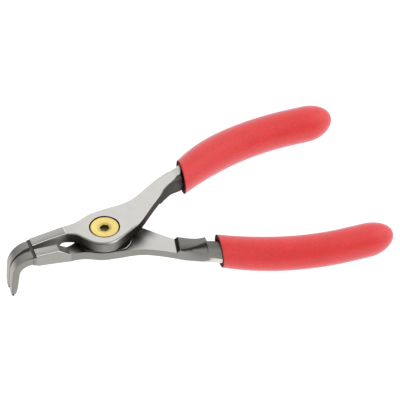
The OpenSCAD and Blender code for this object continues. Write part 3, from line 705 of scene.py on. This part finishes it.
def lever_finish(s, rings, lift, side, place, tip_count, hole, upper):
    """How ground each point of a lever is, and how much painted highlight and painted shade it carries, from
    0 to 1, worked out from its place along the tool, its side of the section and its lift, which is 1 on
    level faces and 0 on upright walls.
    Each of the three is a sum of amounts, and each amount is held to one zone of the lever."""
    x, y, z = np.moveaxis(rings, -1, 0)
    groove_end = -s.bend_start + s.groove_w
    # Zones along the tool
    tip = np.arange(len(rings))[:, None] < tip_count
    groove = (place >= -s.bend_start) & (place < groove_end) & ~tip & (side < 2) & (lift > 0.3)
    jaw = (place > groove_end) & (place < -s.jaw_start)
    on_boss = near_pivot(*BOSS_FADE, place)
    behind = smooth_step(s.lap_back, s.lap_back + 3 * MM, place)
    neck = smooth_step(s.neck_end - 0.1 * MM, s.neck_end + 0.1 * MM, place)
    ramp = (place > s.lap_back + 1 * MM) * (1 - neck)
    # Zones round the section. Behind the lap, the upper inner wall takes in the edge of the ground face
    lap = side >= 2 if upper else side < 2
    flat = smooth_step(0.8, 0.97, lift)
    outer_wall = (side == (0 if upper else 3)) & (lift < 0.5)
    inner_wall = np.where(side == 1, np.maximum(lift < 0.6, behind * upper), (side == 2) & (lift < 0.98))
    outward = within_section(np.abs(y))
    by_lap = 1 - within_section(z) if upper else within_section(z)
    # The bevel of the upper boss and the starts of the face corners, which carry painted highlights and
    # painted dark lines
    rubbed = (side == 1) & (lift > 0.3) & (lift < 0.95) & upper
    turning = (side == (1 if upper else 0)) & (lift > 0.95) & ((lift < 0.999) | upper)

    # How bright each stretch is ground: tips and jaws less than the plate, the milled ramp not at all
    face_zone = ramps([[-27.2, 0.6], [-26.2, 0.55], [-13.9, 0.55], [-13.8, 0.82], [-4, 1]], place, MM)
    lap_zone = ramps([[-27.2, 0.6], [-26.2, 0.5], [-14.3, 0.45], [-14.2, 0.9], [22.4, 0.9], [22.5, 0]],
                     place, MM)
    # The ground face spreads round the tang, starting low on the outer side
    spread = np.clip((place - 28.5 * MM) / (5 * MM), 0, 1)
    round_face = np.where(lap | (inner_wall > 0), 0, smooth_step(0, 0.4, spread - 0.6 * (1 - lift)))
    ground = np.maximum(flat * np.where(lap, lap_zone, face_zone), round_face)
    jaw_walls = 0.3 * (side == 1) + 0.22 * outer_wall
    ground = np.where(tip, 0.05 + 0.5 * flat, np.maximum(ground, jaw * jaw_walls))

    # Painted highlights: the bevels of the jaws, the crease of the face, the round of the tang and the boss's
    # edge
    crease = ~lap & (np.abs(place + s.jaw_start) < 0.25 * MM)
    highlight_span = np.exp(-((place - 0.6 * MM) / (2.8 * MM)) ** 2)
    edge = jaw * plateau(0.3, 0.6, 0.975, 1.0, lift) + 0.5 * crease * flat
    edge += 0.1 * round_face * (1 - flat) + 0.8 * rubbed * on_boss * highlight_span

    # Painted shade on the walls and in the groove. The inner walls are left lighter beside the pivot and on
    # the jaws
    deep = np.where(place < s.neck_end + 4 * MM, 1 - np.exp(-((place + 1 * MM) / (4.5 * MM)) ** 2), 1)
    deep = np.maximum(deep, 0.12) * smooth_step(-18 * MM, -12.5 * MM, place)
    by_boss = near_pivot(11 * MM, 16 * MM, place)
    shade = smooth_step(23 * MM, 31 * MM, place) * (0.05 + 0.4 * by_lap) * (1 - round_face)
    scale = inner_wall * (0.68 + 0.26 * by_boss + 0.2 * lift * behind) * deep + outer_wall * shade
    scale += 0.85 * groove
    # Painted shade on the step, and a painted dark line along the fold in front of the ramp, which keeps its
    # width although its corner grows
    rise = lap & (place > s.lap_back) & (place < s.lap_back + 1.05 * MM)
    onset = ramps([[23, 0.2], [28, 0.78]], place, MM)
    on_fold = side == (3 if upper else 0)
    fold = on_fold * plateau(onset, onset + 0.15, 0.985, 1.0, lift)
    scale += 0.8 * rise * flat + 0.92 * fold * ramp
    scale += 0.3 * on_fold * behind * (1 - flat) * (1 - neck)
    # Painted shade on the ramp towards its fold, on the lap side of the tang, and a little on the face of the
    # tang
    scale += lap * (0.06 + 0.5 * smooth_step(0.3, 1.0, outward)) * flat * ramp
    scale += (lap & (inner_wall == 0)) * (0.22 + 0.15 * lift) * neck + 0.08 * ~lap * neck * flat
    # Painted shade on the tips, most of all by the groove
    by_groove = smooth_step(0.45, 1.0, np.arange(len(rings)) / tip_count)[:, None]
    scale += tip * np.where(side < 2, 0.15 + 0.3 * by_groove, 0.06)
    # Painted dark lines along the edges of the faces, and painted shade on the boss's edge beyond its painted
    # highlight
    scale += turning * (0.5 * on_boss * upper + 0.3 * jaw) + 0.55 * rubbed * on_boss * (1 - highlight_span)
    # Painted shade: the jaw faces darken a little towards their front edge, and the wall between the jaws
    # towards the tips
    to_front = (1 - outward) if upper else outward
    scale += 0.3 * (jaw & (side < 2)) * smooth_step(0.3, 1.0, to_front) * flat
    between = jaw & (side == 1) & (lift < 0.3) & upper
    scale += 0.5 * between * (1 - smooth_step(-25 * MM, -17 * MM, place))
    # Painted shade by the joint: round the seat in front, and behind it beside the other arm
    behind_pivot = smooth_step(-2 * MM, 2 * MM, x)
    shade_round_seat = 0.9 * near_pivot(10.5 * MM, 16 * MM, np.hypot(x, y)) * (1 - behind_pivot)
    shade_by_arm = 0.85 * (1 - smooth_step(6.5 * MM, 12.5 * MM, 0.45 * x + 0.89 * y)) * behind_pivot
    on_lap = lap & (place > -s.lap_front) & (place < s.lap_back)
    scale += on_lap * (shade_round_seat + shade_by_arm) * flat
    # Painted shade in the hole of the screw head or of the nut
    cut = np.flatnonzero(side[-1] == (0 if upper else 2))[CORNER + 2:CORNER + 6]
    scale[:, cut] = np.where(np.abs(place) < hole, 0.85, scale[:, cut])
    return {"ground": ground, "edge": edge, "scale": np.clip(scale, 0, 0.92)}


class PLIERS_OT_levers(Operator):
    """Build the two forged levers"""
    bl_idname = "pliers.levers"
    bl_label = "Levers"

    def execute(self, context):
        settings = context.scene.pliers
        s = settings.lever
        steel = lever_steel(settings.finish)
        for name, upper in HALVES:
            body, lift, side, x = lever_body(s, settings.pivot, upper)
            tip, tip_lift, tip_side = lever_tip(s)
            rings = np.concatenate([tip, body])
            lift = np.abs(np.concatenate([tip_lift, lift]))
            side = np.concatenate([tip_side, side])
            place = np.concatenate([np.full(len(tip), -s.bend_start), x])[:, None]
            hole = hole_radius(settings.pivot, upper)
            finish = lever_finish(s, rings, lift, side, place, len(tip), hole, upper)
            # The seat carries painted shade, and its rim a painted highlight along one stretch
            disc, rim = seat_disc(s)
            rim_highlight = rim * plateau(3.2 * MM, 4.6 * MM, 7.9 * MM, 8.8 * MM, disc[..., 0])
            disc = disc * np.array([1, 1, 1 if upper else -1])
            seat_shade_and_highlight = {"ground": 0.7, "edge": rim_highlight, "scale": 0.88 * (1 - rim_highlight)}
            shells = [(placed(s, rings, upper), finish), (placed(s, disc, upper), seat_shade_and_highlight)]
            build(f"{name}_lever_steel", shells, steel, f"{name}_half", [f"{name}_lever"])
        return {"FINISHED"}


def turned(profile, count=ROUND):
    """Rings of a turned piece about the pivot from (radius, height) points. Where the third value of a point
    is 1, its ring is a hexagon of that half width instead of a circle."""
    profile = np.array([(*p, 0)[:3] for p in profile], float)
    a = np.linspace(0, 2 * np.pi, count, endpoint=False)
    six = 1 / np.cos((a + np.pi / 6) % (np.pi / 3) - np.pi / 6)
    radius = profile[:, :1] * np.where(profile[:, 2:] > 0, six, 1.0)
    height = np.broadcast_to(profile[:, 1:2], radius.shape)
    return np.stack([radius * np.cos(a), radius * np.sin(a), height], -1)


class PLIERS_OT_pivot(Operator):
    """Build the pivot screw and finish the washer and the nut"""
    bl_idname = "pliers.pivot"
    bl_label = "Pivot screw"

    def execute(self, context):
        settings = context.scene.pliers
        p, s = settings.pivot, settings.lever
        dish, drill, chamfer, end_gap = 0.3 * MM, 0.5 * MM, 0.3 * MM, 0.2 * MM
        top = -p.head_sink
        socket, r = p.hex_af / 2, p.head_d / 2
        floor = top - dish - p.hex_depth
        under = top - p.head_h
        end = -2 * s.plate_t + p.head_sink + end_gap
        shoulder_end = -s.plate_t * 4 / 3
        # The wall of the socket and the dish, as radius and millimetres below the top, and the rounded edge
        # of the head, as millimetres within its radius and below the top
        dished = [(socket, 0.52, 1), (socket * 1.02, 0.48, 1), (socket * 1.2, 0.42), (socket * 1.62, 0.27),
                  (socket * 1.72, 0.24), (r * 0.6, 0.2), (r * 0.78, 0.1)]
        rounded = [(0.75, 0.03), (0.6, 0.005), (0.5, 0), (0.3, 0.02), (0.12, 0.1), (0.02, 0.24), (0, 0.4)]
        profile = [
            (HAIR, floor - drill), (socket * 0.8, floor), (socket, floor + HAIR, 1),
            *((radius, top - below * MM, *six) for radius, below, *six in dished),
            *((r - within * MM, top - below * MM) for within, below in rounded),
            (r, under + 0.1 * MM), (r - 0.1 * MM, under),
            (p.shoulder_d / 2, under), (p.shoulder_d / 2, shoulder_end), (p.thread_d / 2, shoulder_end),
            (p.thread_d / 2, end + chamfer), (p.thread_d / 2 - chamfer, end), (HAIR, end),
        ]
        # Painted shade by the number of the ring: in the socket, and from the head's rounded edge down
        film = [[0, 0.9], [3, 0.75], [4, 0.5], [5, 0.4], [6, 0.2], [8, 0], [12, 0], [13, 0.3], [14, 0.75],
                [15, 0.9]]
        screw_shade = ramps(film, np.arange(len(profile)))[:, None]
        zinc = yellow_zinc(settings.finish)
        build("pivot_screw_zinc", [(turned(profile), {"screw_shade": screw_shade})], zinc, "lower_half", ["pivot_screw"])
        for name, finish in (("pivot_nut", zinc), ("spring_washer", black_wire(settings.finish))):
            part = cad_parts[name]
            part.data.materials.clear()
            part.data.materials.append(finish)
        return {"FINISHED"}


class PLIERS_OT_tip_pins(Operator):
    """Build the two pins in the tips"""
    bl_idname = "pliers.tip_pins"
    bl_label = "Tip pins"

    def execute(self, context):
        settings = context.scene.pliers
        p, s = settings.pivot, settings.lever
        # The shank grows thicker from its inner end to the end of the tip
        r, dome_h, shank_r, root_r = p.pin_d / 2, 0.25 * MM, 0.4 * MM, 0.55 * MM
        dome = [(r * math.cos(a), p.pin_out - dome_h + dome_h * math.sin(a))
                for a in np.radians([0, 20, 40, 58, 74, 86])]
        shank = [(HAIR, -p.pin_in), (shank_r, -p.pin_in), (root_r, 0), (r, HAIR)]
        rings = turned([*shank, *dome, (HAIR / 2, p.pin_out)], 32)
        lean = s.bend_deg
        out = np.array([-math.cos(lean), 0, -math.sin(lean)])
        side = np.array([0, 1.0, 0])
        third = np.cross(out, side)
        reach = s.bend_start + s.bend_r * math.sin(lean) + straight_tip(s) * math.cos(lean)
        base = np.array([-reach, s.pin_spacing / 2, -s.tip_drop])
        points = base + rings[..., :1] * side + rings[..., 1:2] * third + rings[..., 2:] * out
        wire = black_wire(settings.finish)
        for name, upper in HALVES:
            build(f"{name}_tip_pin_wire", [(placed(s, points, upper), {})], wire, f"{name}_half",
                  [f"{name}_tip_pin"])
        return {"FINISHED"}


def sleeve(s, g, upper):
    """Pull-on sleeve: rings run from the end of the hollow to the mouth, over the rounded lip, along the
    outside and round the domed end. Each ring is an oval about the handle line, and those by the mouth are
    slanted. The outside grows from the mouth as a parabola, and the hollow follows the tang with room that
    closes down behind the mouth. Gives the rings, their painted shade and the number of ring gaps that are
    lining."""
    size = (g.upper_size if upper else g.lower_size) / 2
    mouth = g.upper_mouth if upper else g.lower_mouth
    rise, out = (g.upper_rise, g.upper_out) if upper else (0.0, 0.0)
    slant = g.mouth_turn if upper else -g.mouth_turn
    lip_rings, lip_depth = 7, 0.9
    tang_room, close, fine = 0.1 * MM, 0.75, 6 * MM
    a = np.linspace(0, 2 * np.pi, ROUND, endpoint=False)

    def grown(x):
        """How far a sleeve has grown from its mouth to its full size."""
        return 1 - np.clip(1 - (x - mouth) / g.flare, 0, 1) ** 2

    def oval(x, across, high, shift, lift=0.0):
        """Rings at x with half sizes across and up. The shift moves them off the tang as they grow."""
        along = x[:, None] + (slant * (1 - grown(x)) * across)[:, None] * np.cos(a)
        line, longer = handle_line(s, along)
        y = line + (out * shift * grown(x))[:, None] + across[:, None] * longer * np.cos(a)
        up = (rise * shift * grown(x) + lift)[:, None] + high[:, None] * np.sin(a)
        return np.stack([along, y, up], -1)

    end = s.tang_end + tang_room
    x = np.concatenate([[end, end - 0.2 * MM], np.linspace(end - 2 * MM, mouth + g.mouth_len, 30),
                        np.linspace(mouth + 0.9 * g.mouth_len, mouth + 0.4 * g.lip, 14)])
    room = tang_room + g.mouth_gap * np.clip(1 - (x - mouth) / g.mouth_len, 0, 1) ** 2
    nose = np.where(x > end - 0.3 * MM, close, 1.0)
    hollow = oval(x, (s.tang_w / 2 + room) * nose, (s.tang_h / 2 + room) * nose, 0 * x)
    turn = np.radians(np.linspace(-90, 90, lip_rings + 2)[1:-1])
    inside, outside = s.tang_w / 2 + tang_room + g.mouth_gap, g.mouth_d / 2
    wall = (outside + inside) / 2 + (outside - inside) / 2 * np.sin(turn)
    lip = oval(mouth + g.lip * (1 - np.cos(turn)) * lip_depth, wall, wall, np.linspace(0, 1, lip_rings))
    x = np.concatenate([np.linspace(mouth + g.lip, mouth + fine, 24),
                        np.linspace(mouth + fine + 0.5 * MM, g.end - g.dome, 90)])
    half = g.mouth_d / 2 + (size - g.mouth_d / 2) * grown(x)
    skin = oval(x, half, half, np.ones(len(x)))
    turn = np.radians(np.linspace(0, 89.6, 48)[1:])
    half, reach = size * np.cos(turn), np.sin(turn)
    dome = oval(g.end - g.dome * (1 - reach), half, half, np.ones(len(turn)), g.nose_lift * reach ** 2)
    # Painted shade fills the hollow and fades over the lip
    hollow_shade = np.concatenate([np.ones(len(hollow)), np.linspace(1, 0.3, lip_rings),
                            np.exp(-np.arange(len(skin)) / 0.8) * 0.3, np.zeros(len(dome))])
    rings = placed(s, np.concatenate([hollow, lip, skin, dome]), upper)
    return rings, hollow_shade[:, None], len(hollow) + len(lip) - 1


class PLIERS_OT_grips(Operator):
    """Build the two sleeves"""
    bl_idname = "pliers.grips"
    bl_label = "Grips"

    def execute(self, context):
        settings = context.scene.pliers
        # The second material paints shade on the cut edge and the lining
        vinyl, edge = red_vinyl(settings.finish), shaded_mouth_vinyl(settings.finish)
        for name, upper in HALVES:
            rings, hollow_shade, cut = sleeve(settings.lever, settings.grip, upper)
            build(f"{name}_grip_sleeve", [(rings, {"hollow_shade": hollow_shade})], vinyl, f"{name}_half", [f"{name}_grip"],
                  sharp=50, lining=(edge, cut))
        return {"FINISHED"}


class PLIERS_OT_stage(Operator):
    """Set the pale floor, the soft lights and the camera"""
    bl_idname = "pliers.stage"
    bl_label = "Stage"

    def execute(self, context):
        scene = context.scene
        settings = scene.pliers
        stage = settings.stage
        reach, level = 3.0, CAD_BOX[0][2] - 0.2 * MM
        mesh = bpy.data.meshes.new("floor")
        corners = [(i * reach, j * reach, level) for i, j in ((-1, -1), (1, -1), (1, 1), (-1, 1))]
        mesh.from_pydata(corners, [], [(0, 1, 2, 3)])
        floor = bpy.data.objects.new("floor", mesh)
        scene.collection.objects.link(floor)
        material, tree, _ = new_material("pale_matt_floor")
        # A white table that is lit from below, as for catalogue pictures, so that shadows stay faint
        finish_material(tree, {"Base Color": rgba(settings.finish.floor), "Roughness": 0.9,
                               "Specular IOR Level": 0.1, "Emission Color": (1, 1, 1, 1),
                               "Emission Strength": 0.88})
        mesh.materials.append(material)

        world = bpy.data.worlds.new("soft_room")
        world.use_nodes = True
        room = world.node_tree
        room.nodes.clear()
        # The room is bright above and behind on the right, and darker in front, which draws the bevels
        brightest = (0.35, 0.65, 0.675)
        way = add_node(room, "TexCoord").outputs["Generated"]
        toward = add_node(room, "VectorMath", {0: way, 1: brightest}, operation="DOT_PRODUCT")
        glow = add_node(room, "MapRange", {"Value": toward.outputs["Value"], "From Min": 0.2,
                                           "From Max": 0.95, "To Min": 0.12, "To Max": 1.05})
        sky = add_node(room, "Background", {"Color": (1, 1, 1, 1), "Strength": glow})
        add_node(room, "OutputWorld", {"Surface": sky})
        scene.world = world
        for name, place in (("left_softbox", (-0.9, -0.5, 0.7)), ("right_softbox", (1.0, -0.3, 0.7))):
            light = bpy.data.lights.new(name, "AREA")
            light.size = 1.4
            light.energy = 9.0
            lamp = bpy.data.objects.new(name, light)
            lamp.location = place
            lamp.rotation_euler = Vector(place).to_track_quat("Z", "Y").to_euler()
            scene.collection.objects.link(lamp)

        picture, sensor = 400, 36.0
        e, a = stage.elevation, stage.azimuth
        back = Vector((math.sin(a) * math.cos(e), -math.cos(a) * math.cos(e), math.sin(e)))
        right = Vector((math.cos(a), math.sin(a), 0))
        up = back.cross(right)
        lens = bpy.data.cameras.new("camera")
        lens.sensor_width = sensor
        lens.lens = stage.distance / stage.pixel * sensor / picture
        lens.clip_end = 20.0
        camera = bpy.data.objects.new("camera", lens)
        aside = (stage.pivot_x - picture / 2) * stage.pixel
        above = (stage.pivot_y - picture / 2) * stage.pixel
        eye = back * stage.distance - right * aside + up * above
        turn = Matrix((right, up, back)).transposed().to_4x4()
        camera.matrix_world = Matrix.Translation(eye) @ turn
        scene.collection.objects.link(camera)
        scene.camera = camera
        scene.view_settings.view_transform = "Standard"
        return {"FINISHED"}


OPERATORS = (PLIERS_OT_levers, PLIERS_OT_pivot, PLIERS_OT_tip_pins, PLIERS_OT_grips, PLIERS_OT_stage)


class PLIERS_PT_build(Panel):
    """Lists the steps that build the pliers"""
    bl_idname = "PLIERS_PT_build"
    bl_label = "Circlip pliers"
    bl_space_type = "VIEW_3D"
    bl_region_type = "UI"
    bl_category = "Pliers"

    def draw(self, context):
        for operator in OPERATORS:
            self.layout.operator(operator.bl_idname)


GROUPS = (LeverSizes, GripSizes, PivotSizes, Finishes, StageSettings, PliersSettings)
CLASSES = (*GROUPS, *OPERATORS, PLIERS_PT_build)


def register():
    """Registers the classes and gives the scene its settings."""
    for cls in CLASSES:
        bpy.utils.register_class(cls)
    bpy.types.Scene.pliers = PointerProperty(type=PliersSettings)


def unregister():
    """Takes away what register added."""
    del bpy.types.Scene.pliers
    for cls in reversed(CLASSES):
        bpy.utils.unregister_class(cls)


def main():
    """Builds every piece in order."""
    register()
    for operator in OPERATORS:
        group, name = operator.bl_idname.split(".")
        getattr(getattr(bpy.ops, group), name)()


if __name__ == "__main__":
    main()
